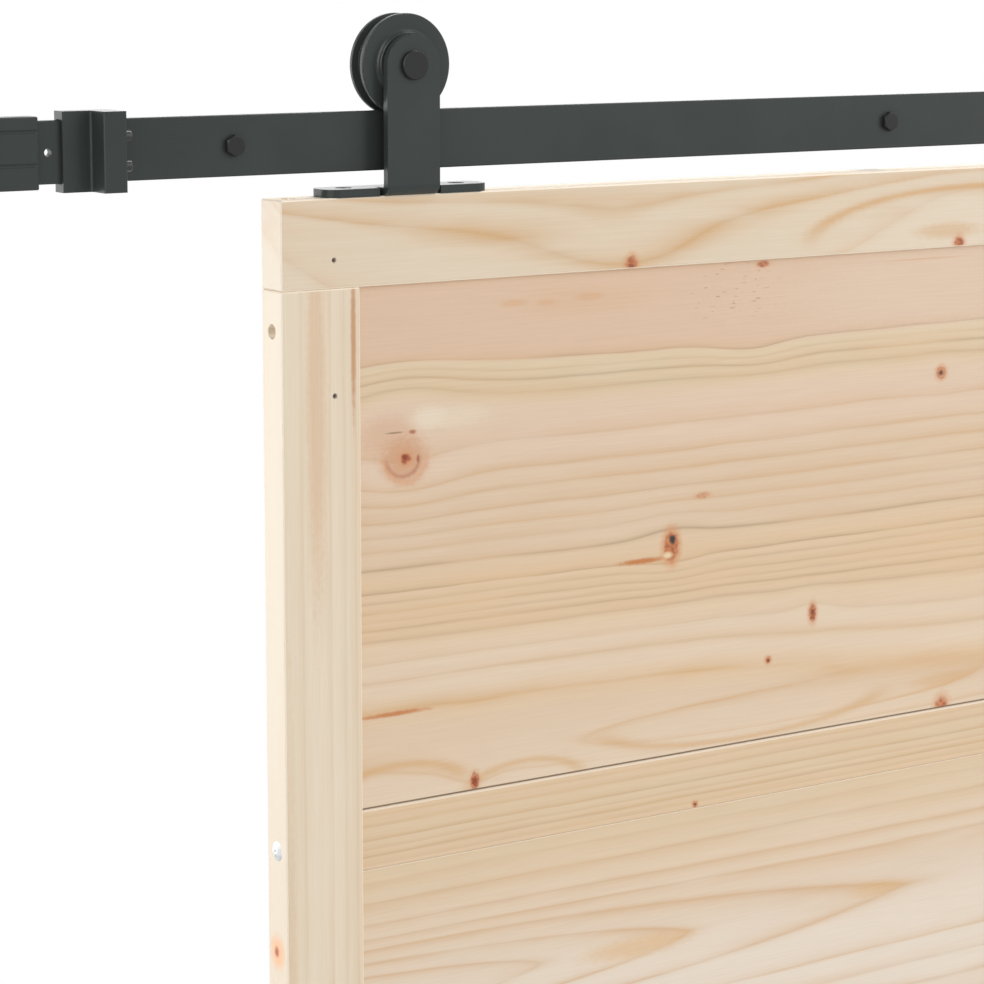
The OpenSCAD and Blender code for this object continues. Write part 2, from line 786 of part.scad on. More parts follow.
// Left stile, between the top and bottom rails
module stile() {
    color(pale_pine) difference() {
        translate([door_left, door_front, door_bottom + end_rail_h + wood_gap])
            eased_box([stile_w, door_t, infill_h - 2 * wood_gap], wood_ease);
        intersection() {
            tongue_groove();
            translate([door_left, door_front, door_bottom]) cube([stile_w + cut, door_t, door_h]);
        }
        both_ends() corner_bores();
        pilot_bores();
        for (i = [1 : panel_count - 1]) {
            translate([door_left - cut, rail_mid, cross_rail_mid(i)])
                along_x() cylinder(d = frame_screw_d + 2 * bolt_gap, h = stile_w + 2 * cut);
        }
    }
}

// Height of the middle of cross rail i, counted from the top
function cross_rail_mid(i) = infill_top - i * infill_pitch + cross_rail_h / 2;

// Board across the infill from z to z + h, with chamfers on its lower and upper front edges
module infill_board(z, h, low_ease, high_ease) {
    low = z + wood_gap;
    high = z + h - wood_gap;
    back = infill_front + panel_t;
    translate([door_left + stile_w + wood_gap, 0, 0])
        rotate([90, 0, 90]) linear_extrude(panel_w - 2 * wood_gap) polygon([
            [infill_front + low_ease, low], [back, low], [back, high],
            [infill_front + high_ease, high], [infill_front, high - high_ease], [infill_front, low + low_ease]
        ]);
}

// Tongue slab of a board from z to z + h, which stands out of the infill's sides by reach
module tongue(z, h, reach) {
    translate([door_left + stile_w - reach, infill_mid - tongue_t / 2, z])
        cube([panel_w + 2 * reach, tongue_t, h]);
}

// Panel i, counted from the top, with a tongue on all four sides, notched at its corners
module panel(i) {
    low = infill_top - (i - 1) * infill_pitch - panel_h;
    color(pine) {
        infill_board(low, panel_h, v_ease, seam_ease);
        tongue(low + wood_gap, panel_h - 2 * wood_gap, tongue_len);
        tongue(low - tongue_len, panel_h + 2 * tongue_len, -wood_gap);
    }
}

// Cross rail i below panel i, grooved above and below, with a tongue in each stile
module cross_rail(i) {
    low = cross_rail_mid(i) - cross_rail_h / 2;
    slot = tongue_t + 2 * wood_gap;
    screw_d = frame_screw_d + 2 * run_gap;
    web = cross_rail_h - 2 * groove_depth - 2 * wood_gap;
    color(pine) difference() {
        union() {
            infill_board(low, cross_rail_h, wood_gap, v_ease);
            tongue(low + groove_depth + wood_gap, web, tongue_len);
        }
        for (z = [low - cut, low + cross_rail_h - groove_depth]) {
            translate([door_left, infill_mid - slot / 2, z]) cube([door_w, slot, groove_depth + cut]);
        }
        both_sides() translate([door_left, rail_mid, cross_rail_mid(i)])
            along_x() cylinder(d = screw_d, h = stile_w + frame_bite);
    }
}

// Socket head bolts, upright through the end rails into the stiles
module corner_bolts() {
    color(bright_steel) both_ends() both_sides() {
        translate([corner_bolt_x, rail_mid, door_top - corner_sink - corner_head_h]) difference() {
            union() {
                cylinder(d = corner_head_d, h = corner_head_h);
                translate([0, 0, -corner_bolt_len])
                    cylinder(d = corner_bolt_d, h = corner_bolt_len + run_gap);
            }
            translate([0, 0, corner_head_h / 2])
                cylinder(d = corner_socket_af * hex_share, h = corner_head_h, $fn = 6);
        }
    }
}

// Barrel nuts that the corner bolts screw into
module barrel_nuts() {
    color(bright_steel) both_ends() both_sides() {
        translate([door_left + barrel_sink, rail_mid, infill_top - barrel_drop]) difference() {
            along_x() cylinder(d = barrel_d, h = barrel_len);
            translate([barrel_len / 2, 0, -barrel_d])
                cylinder(d = corner_bolt_d + 2 * run_gap, h = 2 * barrel_d);
        }
    }
}

module corner_dowels() {
    color(beech) both_ends() both_sides() {
        translate([door_left + dowel_inset, rail_mid, infill_top - dowel_len / 2 + wood_gap])
            cylinder(d = dowel_d, h = dowel_len - 2 * wood_gap);
    }
}

// Domed screws of the left side, through the stile into each cross rail
module frame_screws() {
    dome_r = (pow(frame_head_d / 2, 2) + pow(frame_head_h, 2)) / (2 * frame_head_h);
    shank = stile_w + frame_bite - wood_gap;
    color(bright_steel) for (i = [1 : panel_count - 1]) {
        translate([door_left, rail_mid, cross_rail_mid(i)]) difference() {
            union() {
                along_x() cylinder(d = frame_screw_d, h = shank);
                intersection() {
                    translate([dome_r - frame_head_h, 0, 0]) sphere(dome_r);
                    translate([-frame_head_h, 0, 0]) along_x() cylinder(d = frame_head_d, h = frame_head_h);
                }
            }
            translate([-frame_head_h - cut, 0, 0])
                along_x() cylinder(d = frame_socket_d, h = frame_socket_depth + cut);
        }
    }
}

// Mirrors a piece of the rail's left end to its right end
module at_right_end() {
    mirror([1, 0, 0]) children();
}

rail();
wall_spacers();
wall_bolts();
end_cap();  // end_cap_left
at_right_end() end_cap();  // end_cap_right
end_stop();  // stop_left
at_right_end() end_stop();  // stop_right
stop_buffers();  // stop_buffers_left
at_right_end() stop_buffers();  // stop_buffers_right
stop_screws();  // stop_screws_left
at_right_end() stop_screws();  // stop_screws_right
hanger(hanger_left_x);  // hanger_left
hanger(hanger_right_x);  // hanger_right
foot_screws(hanger_left_x);  // foot_screws_left
foot_screws(hanger_right_x);  // foot_screws_right
axle(hanger_left_x);  // axle_left
axle(hanger_right_x);  // axle_right
axle_sleeve(hanger_left_x);  // axle_sleeve_left
axle_sleeve(hanger_right_x);  // axle_sleeve_right
axle_nut(hanger_left_x);  // axle_nut_left
axle_nut(hanger_right_x);  // axle_nut_right
bearing_inner(hanger_left_x);  // bearing_inner_left
bearing_inner(hanger_right_x);  // bearing_inner_right
bearing_outer(hanger_left_x);  // bearing_outer_left
bearing_outer(hanger_right_x);  // bearing_outer_right
bearing_balls(hanger_left_x);  // bearing_balls_left
bearing_balls(hanger_right_x);  // bearing_balls_right
wheel(hanger_left_x);  // wheel_left
wheel(hanger_right_x);  // wheel_right
top_rail();
bottom_rail();
stile();  // stile_left
at_right_side() stile();  // stile_right
cross_rail(1);  // cross_rail_1
cross_rail(2);  // cross_rail_2
cross_rail(3);  // cross_rail_3
cross_rail(4);  // cross_rail_4
panel(1);  // panel_1
panel(2);  // panel_2
panel(3);  // panel_3
panel(4);  // panel_4
panel(5);  // panel_5
corner_bolts();
barrel_nuts();
corner_dowels();
frame_screws();  // frame_screws_left
at_right_side() frame_screws();  // frame_screws_right
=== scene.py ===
# %% [markdown]
# A sliding barn door: a framed pine leaf that hangs from a flat black rail on two roller hangers.
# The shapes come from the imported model, so this lesson is mostly about light and finishes: black powder
# coat, dark bolts, zinc screws, rubber buffers, and pine whose rings, knots and tints are grown from
# formulas. Every step has a cell of words like this one, and a short cell of code after it.

# %% Load the model
import math
import random

import bpy
from mathutils import Euler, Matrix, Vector


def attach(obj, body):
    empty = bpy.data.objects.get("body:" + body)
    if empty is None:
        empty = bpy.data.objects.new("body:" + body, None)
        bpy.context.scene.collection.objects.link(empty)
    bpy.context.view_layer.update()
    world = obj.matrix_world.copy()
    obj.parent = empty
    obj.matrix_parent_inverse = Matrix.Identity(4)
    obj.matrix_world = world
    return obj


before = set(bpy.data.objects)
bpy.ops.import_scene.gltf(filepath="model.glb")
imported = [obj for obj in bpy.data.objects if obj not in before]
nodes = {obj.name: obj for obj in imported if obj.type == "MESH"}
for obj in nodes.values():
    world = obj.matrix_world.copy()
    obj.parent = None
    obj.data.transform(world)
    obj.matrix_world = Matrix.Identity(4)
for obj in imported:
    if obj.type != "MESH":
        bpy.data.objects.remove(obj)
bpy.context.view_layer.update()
MM = 0.001

# %% [markdown]
# The camera stands to the left of the hanger, a little above the rail, and looks down on the corner of the
# door. A product photographer would shift the lens so that upright edges stay upright. A large shift would
# push the door out of the frame when the camera walks round it, so most of the look downwards is a tilt.

# %% Camera
CAMERA_PLACE = (-1.7683, -1.7629, 0.1188)  # metres
CAMERA_YAW = 33.243  # degrees
CAMERA_TILT = 8.542
CAMERA_ROLL = 0.031
CAMERA_LENS = 110.19  # mm
CAMERA_SHIFT = -0.08  # of the picture's width
SENSOR = 36.0  # mm


def add_camera():
    bpy.ops.object.camera_add(location=CAMERA_PLACE)
    made = bpy.context.object
    turn = Euler((math.radians(90 - CAMERA_TILT), 0, math.radians(-CAMERA_YAW)), "XYZ").to_matrix()
    roll = Euler((0, 0, math.radians(CAMERA_ROLL)), "XYZ").to_matrix()
    made.rotation_euler = (turn @ roll).to_euler()
    made.data.lens = CAMERA_LENS
    made.data.sensor_width = SENSOR
    made.data.shift_y = CAMERA_SHIFT
    bpy.context.scene.camera = made
    return made


camera = add_camera()
print("camera at", tuple(round(v, 3) for v in camera.location))

# %% [markdown]
# Shader maths reads best as plain sums. This small class holds one output of a material's node tree.
# Adding, multiplying or dividing two of them adds a Math node, and `node` adds any other kind: first its
# settings, then the values or links of its sockets.

# %% Shader sums
class Field:
    """A value that varies over a surface: one output socket of a node tree."""

    def __init__(self, tree, socket=None):
        self.tree = tree
        self.socket = socket

    def node(self, kind, settings, sockets, output=0):
        made = self.tree.nodes.new("ShaderNode" + kind)
        for name, value in settings.items():
            if name == "stops":
                set_stops(made.color_ramp, value)
            else:
                setattr(made, name, value)
        for key, value in sockets.items():
            if isinstance(value, Field):
                self.tree.links.new(value.socket, made.inputs[key])
            else:
                made.inputs[key].default_value = value
        return Field(self.tree, made.outputs[output])

    def math(self, operation, *values):
        return self.node("Math", {"operation": operation}, dict(enumerate(values)))

    def vector(self, operation, *values, output=0):
        return self.node("VectorMath", {"operation": operation}, dict(enumerate(values)), output)

    def __add__(self, other):
        return self.math("ADD", self, other)

    def __radd__(self, other):
        return self.math("ADD", other, self)

    def __sub__(self, other):
        return self.math("SUBTRACT", self, other)

    def __rsub__(self, other):
        return self.math("SUBTRACT", other, self)

    def __mul__(self, other):
        return self.math("MULTIPLY", self, other)

    def __rmul__(self, other):
        return self.math("MULTIPLY", other, self)

    def __truediv__(self, other):
        return self.math("DIVIDE", self, other)

    def bell(self):
        """1 at zero, falling away smoothly on both sides."""
        return self.math("EXPONENT", -1 * (self * self))

    def soft_step(self, low, high):
        """0 at low and 1 at high, with soft ends. Low may be above high."""
        return self.node("MapRange", {"interpolation_type": "SMOOTHSTEP"},
                         {"Value": self, "From Min": low, "From Max": high})

    def ramp(self, stops):
        """Colours between stops, each a place from 0 to 1 and its colour."""
        return self.node("ValToRGB", {"stops": stops}, {"Fac": self})

    def mix(self, first, second):
        """Colour: first where this field is 0, second where it is 1."""
        return self.node("Mix", {"data_type": "RGBA"}, {0: self, 6: first, 7: second}, 2)

    def noise(self, scale, detail=2.0, roughness=0.5):
        """Cloudy values about 0.5 on the points of this vector field."""
        sockets = {"Vector": self, "Scale": scale, "Detail": detail, "Roughness": roughness}
        return self.node("TexNoise", {}, sockets)


def set_stops(ramp, stops):
    while len(ramp.elements) > 1:
        ramp.elements.remove(ramp.elements[-1])
    for i, (place, colour) in enumerate(stops):
        element = ramp.elements[0] if i == 0 else ramp.elements.new(place)
        element.position = place
        element.color = colour


def srgb(red, green, blue):
    """A colour from the 0 to 255 values that a screen shows."""
    shares = [c / 255 for c in (red, green, blue)]
    return tuple(c / 12.92 if c <= 0.04045 else ((c + 0.055) / 1.055) ** 2.4 for c in shares) + (1.0,)


def start_material(name):
    """A new material, its Principled shader and the points of its piece in metres."""
    material = bpy.data.materials.new(name)
    material.use_nodes = True
    tree = material.node_tree
    place = Field(tree).node("TexCoord", {}, {}, "Object")
    return material, tree.nodes["Principled BSDF"], place


def set_shader(shader, sockets):
    for name, value in sockets.items():
        if isinstance(value, Field):
            value.tree.links.new(value.socket, shader.inputs[name])
        else:
            shader.inputs[name].default_value = value


def paint(material, *names):
    for name in names:
        slots = nodes[name].data.materials
        slots.clear()
        slots.append(material)


print("shader class ready")

# %% [markdown]
# The studio is a white room. Rays from the camera, and those that bounce off glossy paint, see pure white,
# so the backdrop is clean and edges of black steel catch it. Everything else is lit by a dimmer ambient,
# which leaves room for six lights. A broad fill stands at the front right. A tall softbox beside the left
# end of the rail brightens the left faces of wood and steel. It is hidden from their gloss, which gets a
# card of its own. A second card, high beside the camera, is seen by gloss alone: it draws bright lines on
# edges that look up or left. A rim light behind the door whitens what lies flat, because a face seen at a
# glance mirrors what is behind it. A short strip overhead draws thin highlights on round edges.

# %% Studio
AMBIENT = 0.74
FILL_RADIANCE = 1.55
BOX_RADIANCE = 1.85
CARD_RADIANCE = 3.0
EDGE_RADIANCE = 8.0
RIM_RADIANCE = 1.25
STRIP_RADIANCE = 14.0
DIRECT_RAYS = ("Is Camera Ray", "Is Glossy Ray", "Is Transmission Ray")


def white_world():
    world = bpy.data.worlds.new("studio")
    bpy.context.scene.world = world
    world.use_nodes = True
    tree = world.node_tree
    path = Field(tree)
    seen = [path.node("LightPath", {}, {}, ray) for ray in DIRECT_RAYS]
    direct = path.math("MAXIMUM", path.math("MAXIMUM", seen[0], seen[1]), seen[2])
    set_shader(tree.nodes["Background"], {"Color": (1.0, 1.0, 1.0, 1.0),
                                          "Strength": AMBIENT + (1.0 - AMBIENT) * direct})


def add_light(name, place, aim, width, height, radiance):
    """A soft area light at place that faces aim, with a brightness that doesn't depend on its size."""
    bpy.ops.object.light_add(type="AREA", location=place)
    made = bpy.context.object
    made.name = name
    made.data.shape = "RECTANGLE"
    made.data.size = width
    made.data.size_y = height
    made.data.energy = radiance * math.pi * width * height
    away = made.location - Vector(aim)
    made.rotation_euler = away.to_track_quat("Z", "Y").to_euler()
    made.visible_camera = False
    return made


bpy.context.scene.view_settings.view_transform = "Standard"
white_world()
fill = add_light("front_fill", (2.8, -3.2, 1.6), (-0.2, 0.0, -0.3), 4.5, 4.5, FILL_RADIANCE)
softbox = add_light("left_softbox", (-3.0, 1.2, -0.1), (-0.75, 0.0, -0.3), 1.7, 2.6, BOX_RADIANCE)
softbox.visible_glossy = False
card = add_light("left_card", (-2.35, 2.6, -0.1), (-0.75, 0.0, -0.3), 1.7, 2.6, CARD_RADIANCE)
card.visible_diffuse = False
edge_card = add_light("edge_card", (-2.3, -1.0, 1.0), (-0.7, 0.0, 0.0), 2.0, 2.4, EDGE_RADIANCE)
edge_card.visible_diffuse = False
rim = add_light("back_rim", (1.3, 3.2, 0.9), (-0.6, 0.0, 0.0), 4.0, 1.8, RIM_RADIANCE)
strip = add_light("top_strip", (0.27, 0.2, 1.75), (-0.9, 0.0, 0.0), 0.9, 0.5, STRIP_RADIANCE)
print("lights:", fill.name, softbox.name, card.name, edge_card.name, rim.name, strip.name)

# %% [markdown]
# A pale round floor catches the door's shadow when the camera walks round it. It could be a huge plane, but
# then its far edge would cut the white backdrop. So it fades out towards its rim.

# %% Floor
FLOOR_RADIUS = 2.4  # metres
FLOOR_MIDDLE = (-0.3, -0.03, -2.15)
FLOOR_DARK = srgb(238, 238, 236)
FLOOR_PALE = srgb(246, 246, 245)
FADE_WAVER = 0.12
FADE_END = 0.96 * FLOOR_RADIUS
FADE_START = 0.5 * FLOOR_RADIUS

bpy.ops.mesh.primitive_circle_add(vertices=96, radius=FLOOR_RADIUS, fill_type="NGON", location=FLOOR_MIDDLE)
floor = bpy.context.object
floor.name = "floor"
floor_paint, floor_shader, floor_place = start_material("pale_floor")
waver = FADE_WAVER * (floor_place.noise(3.0, 3.0) - 0.5)
from_middle = floor_place.vector("LENGTH", floor_place, output=1) + waver
set_shader(floor_shader, {"Base Color": floor_place.noise(7.0, 4.0).mix(FLOOR_DARK, FLOOR_PALE),
                          "Roughness": 0.8,
                          "Alpha": from_middle.soft_step(FADE_END, FADE_START)})
floor.data.materials.append(floor_paint)
print("floor radius", FLOOR_RADIUS)

# %% [markdown]
# The black hardware is mild steel under powder coat: a dark grey, slightly green, with a satin gloss and a
# faint orange-peel skin. It could be one flat colour, but then broad faces look like paper. A slow cloud in
# the gloss and a fine bump break up the reflections, as the baked powder does. The Bevel node rounds the
# light on sharp edges, where real paint is thick, so that they catch a thin bright line.

# %% Powder coat
EDGE_ROUND = 0.7 * MM
PEEL_DEPTH = 0.05 * MM
PEEL_SCALE = 900.0  # per metre
CLOUD_SCALE = 18.0
MOTTLE = 0.06
STEEL_GREY = srgb(59, 64, 62)
CAP_GREY = srgb(58, 63, 61)
SIDES = ("left", "right")


def coated_steel(name, colour, rough, peel, shine):
    """A dark coat with its roughness, the strength of its peel and its shine."""
    material, shader, place = start_material(name)
    cloud = place.noise(CLOUD_SCALE, 3.0)
    skin = place.noise(PEEL_SCALE, 2.0)
    dark = tuple((1.0 - MOTTLE) * c for c in colour[:3]) + (1.0,)
    pale = tuple((1.0 + MOTTLE) * c for c in colour[:3]) + (1.0,)
    edge = place.node("Bevel", {"samples": 6}, {"Radius": EDGE_ROUND})
    bump = place.node("Bump", {}, {"Strength": peel, "Distance": PEEL_DEPTH, "Height": skin, "Normal": edge})
    set_shader(shader, {"Base Color": cloud.soft_step(0.3, 0.7).mix(dark, pale),
                        "Specular IOR Level": shine,
                        "Roughness": rough + 0.1 * (cloud - 0.5) + 0.06 * (skin - 0.5),
                        "Normal": bump})
    return material


def both(*pieces):
    """Names of the left and the right one of each piece."""
    return [f"{piece}_{side}" for piece in pieces for side in SIDES]


black_coat = coated_steel("black_powder_coat", STEEL_GREY, rough=0.3, peel=0.15, shine=0.12)
paint(black_coat, "rail", "wall_spacers", *both("stop", "hanger", "wheel"))
cap_plastic = coated_steel("black_cap_plastic", CAP_GREY, rough=0.36, peel=0.3, shine=0.12)
paint(cap_plastic, *both("end_cap"))
print("coated:", black_coat.name, cap_plastic.name)

# %% [markdown]
# Bolts, axles and nuts are steel with black oxide: neutral in colour and darker than the paint. The same
# recipe makes it with other numbers.

# %% Dark fasteners
OXIDE_GREY = srgb(41, 41, 41)
dark_oxide = coated_steel("black_oxide", OXIDE_GREY, rough=0.4, peel=0.15, shine=0.16)
paint(dark_oxide, "wall_bolts", *both("stop_screws", "foot_screws", "axle", "axle_nut"))
print("fasteners:", dark_oxide.name)

# %% [markdown]
# Zinc-plated screws, bearing rings and balls are bright metal with a broken, slightly cloudy gloss.
# Rubber buffers are nearly black, with the faint texture and the sheen of a polished mould.

# %% Zinc and rubber
ZINC_DULL = srgb(196, 198, 200)
ZINC_BRIGHT = srgb(226, 226, 224)
RUBBER_DARK = srgb(44, 46, 45)
RUBBER_PALE = srgb(54, 56, 55)


def zinc_plate(name):
    material, shader, place = start_material(name)
    cloud = place.noise(260.0, 4.0, 0.65)
    tone = cloud.soft_step(0.35, 0.7).mix(ZINC_DULL, ZINC_BRIGHT)
    bump = place.node("Bump", {}, {"Strength": 0.15, "Distance": 0.03 * MM, "Height": cloud})
    set_shader(shader, {"Base Color": tone, "Metallic": 1.0, "Roughness": 0.26 + 0.2 * cloud,
                        "Normal": bump})
    return material


def moulded_rubber(name):
    material, shader, place = start_material(name)
    grain = place.noise(1400.0, 3.0)
    tone = grain.soft_step(0.2, 0.8).mix(RUBBER_DARK, RUBBER_PALE)
    bump = place.node("Bump", {}, {"Strength": 0.05, "Distance": 0.02 * MM, "Height": grain})
    set_shader(shader, {"Base Color": tone, "Specular IOR Level": 0.35, "Roughness": 0.1 + 0.08 * grain,
                        "Normal": bump})
    return material


zinc = zinc_plate("zinc_plate")
paint(zinc, "corner_bolts", "barrel_nuts",
      *both("axle_sleeve", "bearing_inner", "bearing_outer", "bearing_balls", "frame_screws"))
rubber = moulded_rubber("buffer_rubber")
paint(rubber, *both("stop_buffers"))
print("metal and rubber:", zinc.name, rubber.name)

# %% [markdown]
# Pine comes next, and it is drawn in each board's own millimetres: along the grain, across it and into the
# thickness. Generated coordinates could do, but they stretch with the piece. In millimetres a knot of one
# size looks the same on a long board and on a short one, lying or standing.

# %% Board coordinates
THROUGH = 400.0  # mm, far more than any board's thickness
SEED_STEP = (7.3, 3.1, 1.7)


def board_point(place, board):
    """Millimetres along the grain, across it and into the thickness, as one vector field."""
    x, y, z = [place.node("SeparateXYZ", {}, {0: place}, axis) / MM for axis in range(3)]
    into = y - board["front"]
    if board["upright"]:
        return place.node("CombineXYZ", {}, {0: -1 * z, 1: x - board["start"], 2: into})
    return place.node("CombineXYZ", {}, {0: x, 1: board["start"] - z, 2: into})


def far_from(point, centre, reach):
    """Distance from a centre, in reaches along, across and into the board: 1 on the rim of a spot.
    With two numbers, the spot runs through the whole thickness."""
    sizes = (*reach, THROUGH)[:3]
    middle = (*centre, 0.0)[:3]
    scale = [1 / r for r in sizes]
    moved = point.vector("MULTIPLY_ADD", point, scale, [-m / r for m, r in zip(middle, sizes)])
    return moved.vector("LENGTH", moved, output=1)


def hill(point, along, across, reach_along, reach_across):
    """1 at a place on the board, falling away within its reach."""
    return far_from(point, (along, across), (reach_along, reach_across)).bell()


def stretched(point, along, across, seed):
    """The board's points squeezed along the grain, so that noise on them makes long streaks."""
    offset = [step * seed for step in SEED_STEP]
    return point.vector("MULTIPLY_ADD", point, (along, across, across), offset)


print("board coordinates ready")

# %% [markdown]
# Each year leaves a pale band that darkens slowly and ends in a thin brown line. So every point gets one
# number, its ring count, that grows across the width, and the colour follows how near the point is to the
# next whole number. The count comes from a ramp over chosen line places. The ramp's red holds the count, its
# green the strength of the soft shade before a line, its blue how wide the ring is, and its alpha the
# strength of the thin line.
#
# A straight count looks like printed stripes, so it's bent. Slow noise along the grain makes lines wander. A
# sway moves a stretch of them up or down. A knot pushes them aside, as the tree grew round its branch. Last,
# a loop adds a hill or a hollow to the count itself, whose contours are the long flames of a board sawn near
# the skin of the tree.

# %% Ring count
RING_WIDTH = 80.0  # mm, the widest ring that the ramp can hold
COUNTS = 32
LEAN = 0.5  # mm across for each mm of depth
LINE_WIDTH = 1.3  # mm
FOLD_COUNT = 0.41
END_STRENGTH = (0.2, 0.1)  # shade and line
FOLD_STRENGTH = (1.0, 0.1)
WANDER_SCALE = (0.0032, 0.012)  # per mm, along and across
QUIVER_SCALE = (0.016, 0.06)
QUIVER_SHARE = 0.22
PATCH_SCALE = (0.007, 0.05)
SHADE_AFTER = 0.35  # how fast a shade ends past its line
LINE_AFTER = 0.5


def ring_place(point, board):
    """Where on the board the straight lines would be that now pass through the point, in mm across."""
    axis = [point.node("SeparateXYZ", {}, {0: point}, i) for i in range(3)]
    wander = stretched(point, *WANDER_SCALE, board["seed"]).noise(1.0, 2.0) - 0.5
    quiver = stretched(point, *QUIVER_SCALE, board["seed"] + 5).noise(1.0, 2.0) - 0.5
    u = axis[1] + LEAN * axis[2] + board["wander"] * wander + QUIVER_SHARE * board["wander"] * quiver
    for *spot, shift in board["sways"]:
        u = u + shift * hill(point, *spot)
    for *spot, push in board["pushes"]:
        u = u - push * (u - spot[1]) * hill(point, *spot)
    return u


def ring_stops(board):
    """Ramp stops of a board's lines. A folded board counts its rings outwards from the fold."""
    low, high = board["range"]
    fold = board["fold"]
    lines = [(low, *END_STRENGTH), *board["lines"], (high, *END_STRENGTH)]
    counts = list(range(len(lines)))
    if fold is not None:
        above = sum(1 for line in lines if line[0] < fold)
        counts = list(range(above, 0, -1)) + [FOLD_COUNT] + list(range(1, len(lines) - above + 1))
        lines.insert(above, (fold, *FOLD_STRENGTH))
    stops = []
    for i, (at, shade, line) in enumerate(lines):
        ring = abs(lines[max(i, 1)][0] - lines[max(i, 1) - 1][0])
        share = (at - low) / (high - low)
        stops.append((share, (counts[i] / COUNTS, shade, min(ring / RING_WIDTH, 1.0), line)))
    return stops


def ring_lines(point, board, share):
    """How near the point is to the dark end of its ring: a soft shade and a thin line, each 0 to 1."""
    colours = share.ramp(ring_stops(board))
    line = Field(colours.tree, colours.socket.node.outputs["Alpha"])
    count, shade, ring = [point.node("SeparateColor", {}, {0: colours}, i) for i in range(3)]
    count = COUNTS * count
    for *spot, rings in board["loops"]:
        count = count + rings * hill(point, *spot)
    year = count.math("FLOOR", count)
    begun = (count - year) * ring * RING_WIDTH
    left = ring * RING_WIDTH - begun
    patchy = stretched(point, *PATCH_SCALE, board["seed"] + 9).noise(1.0, 3.0)
    near = left.math("MINIMUM", left / board["soft"], begun / (SHADE_AFTER * board["soft"]))
    soft = shade * patchy.soft_step(0.2, 0.6) * point.math("EXPONENT", -1 * near)
    near = left.math("MINIMUM", left / LINE_WIDTH, begun / (LINE_AFTER * LINE_WIDTH))
    thin = line * patchy.soft_step(0.75, 0.35) * point.math("EXPONENT", -1 * near)
    return soft, thin


print("ring count ready")

# %% [markdown]
# Knots are the ends of branches: a mottled red oval with a dark rim and core, inside a warm halo. They run
# through the whole board, so both faces show them. Streaks are the same ovals in one flat tint: resin, a tan
# tongue, or a brown scratch. Arcs are half outlines of ovals, where a ring bends round a branch. They could
# come from the ring count too, but one strong arc is easier to place by itself.

# %% Knots and streaks
KNOT_RED = srgb(150, 62, 30)
KNOT_AMBER = srgb(200, 118, 62)
KNOT_RIM = srgb(164, 84, 46)
KNOT_DARK = srgb(84, 40, 22)
HALO = srgb(214, 152, 104)
RIM_WIDTH = 0.14  # in reaches of the knot
KNOT_WAVER = 0.7
STREAK_WAVER = 0.6
ARC_WAVER = 1.8  # mm


def add_knot(tone, point, knot, ragged):
    """A knot at a centre with its reach, and how strong its halo, body, rim and core are."""
    centre, reach, halo, body, rim, core = knot
    far = far_from(point, centre, reach) + KNOT_WAVER * (ragged - 0.5)
    mottled = ragged.soft_step(0.38, 0.62).mix(KNOT_RED, KNOT_AMBER)
    tone = (halo * far.soft_step(2.2, 0.8)).mix(tone, HALO)
    tone = (body * far.soft_step(1.3, 0.55)).mix(tone, mottled)
    tone = (rim * ((far - 1.0) / RIM_WIDTH).bell()).mix(tone, KNOT_RIM)
    return (core * far.soft_step(0.7, 0.2)).mix(tone, KNOT_DARK)


def add_streak(tone, point, streak, ragged):
    """An oval of one colour at a centre with its reach, and its share over the wood."""
    centre, reach, colour, share = streak
    far = far_from(point, centre, reach) + STREAK_WAVER * (ragged - 0.5)
    return (share * far.soft_step(1.25, 0.35)).mix(tone, colour)


def add_arc(tone, point, arc, ragged):
    """The lower half of an oval's outline where side is 1, and the upper half where it is -1."""
    centre, reach, thick, colour, share, side = arc
    far = far_from(point, centre, reach) + ARC_WAVER / reach[1] * (ragged - 0.5)
    across = point.node("SeparateXYZ", {}, {0: point}, 1)
    faced = (side / reach[1] * (across - centre[1])).soft_step(-0.2, 0.5)
    return (share * faced * ((far - 1.0) / thick).bell()).mix(tone, colour)


print("knots ready")

# %% [markdown]
# The whole board comes together here: tints across the width, rings over them, streaks, arcs, knots,
# chips and painted shade in pilot holes, then fine fibre that lightens and darkens everything a little. The
# same fibre and lines drive a very shallow bump, because a planed board keeps its hard late wood slightly
# proud. Light and shade are then painted by where a face looks: sides and tops get painted light and are
# paler, eased front edges get a painted highlight, and a panel's lower edge gets painted shade, so that the
# grooves read from afar. Marks on a side come last, because that painted light would wash them out. Every
# noise adds its own number to the board's seed, so that no two of them look alike.

# %% Pine
LATE = srgb(208, 158, 94)
LATE_SHARE = 0.62
BROWN = srgb(132, 110, 80)
BROWN_SHARE = 0.55
RUST = srgb(172, 92, 40)
RUST_SHARE = 0.5
# painted highlight on eased front edges
PAINTED_EDGE_HIGHLIGHT = srgb(252, 238, 218)
# painted light on sides, tops and ends, paler than the front
PAINTED_SIDE_LIGHT = srgb(240, 230, 214)
# painted shade in the groove under a panel's lower edge
SHADED = srgb(112, 84, 58)
RAGGED_SCALE = (0.22, 0.3)  # per mm, along and across
DASH_SCALE = (0.1, 0.55)
FIBRE_SCALE = (0.02, 0.9)
BLOTCH_SCALE = (0.004, 0.016)
FIBRE_SHADES = (0.05, 0.065, 0.09)  # of red, green and blue
BLOTCH_SHADE = 0.05
FIBRE_DEPTH = 0.12 * MM
MARKS = {"streaks": add_streak, "arcs": add_arc, "knots": add_knot, "chips": add_streak}


def add_marks(tone, point, board, ragged):
    """A board's marks over its rings, each kind over the one before it."""
    for kind, add in MARKS.items():
        for mark in board[kind]:
            tone = add(tone, point, mark, ragged)
    for centre, reach in board["flecks"]:
        dash = stretched(point, *DASH_SCALE, board["seed"] + 6).noise(1.0, 2.0).soft_step(0.62, 0.72)
        near = far_from(point, centre, reach).soft_step(1.1, 0.5)
        tone = (RUST_SHARE * dash * near).mix(tone, RUST)
    return tone


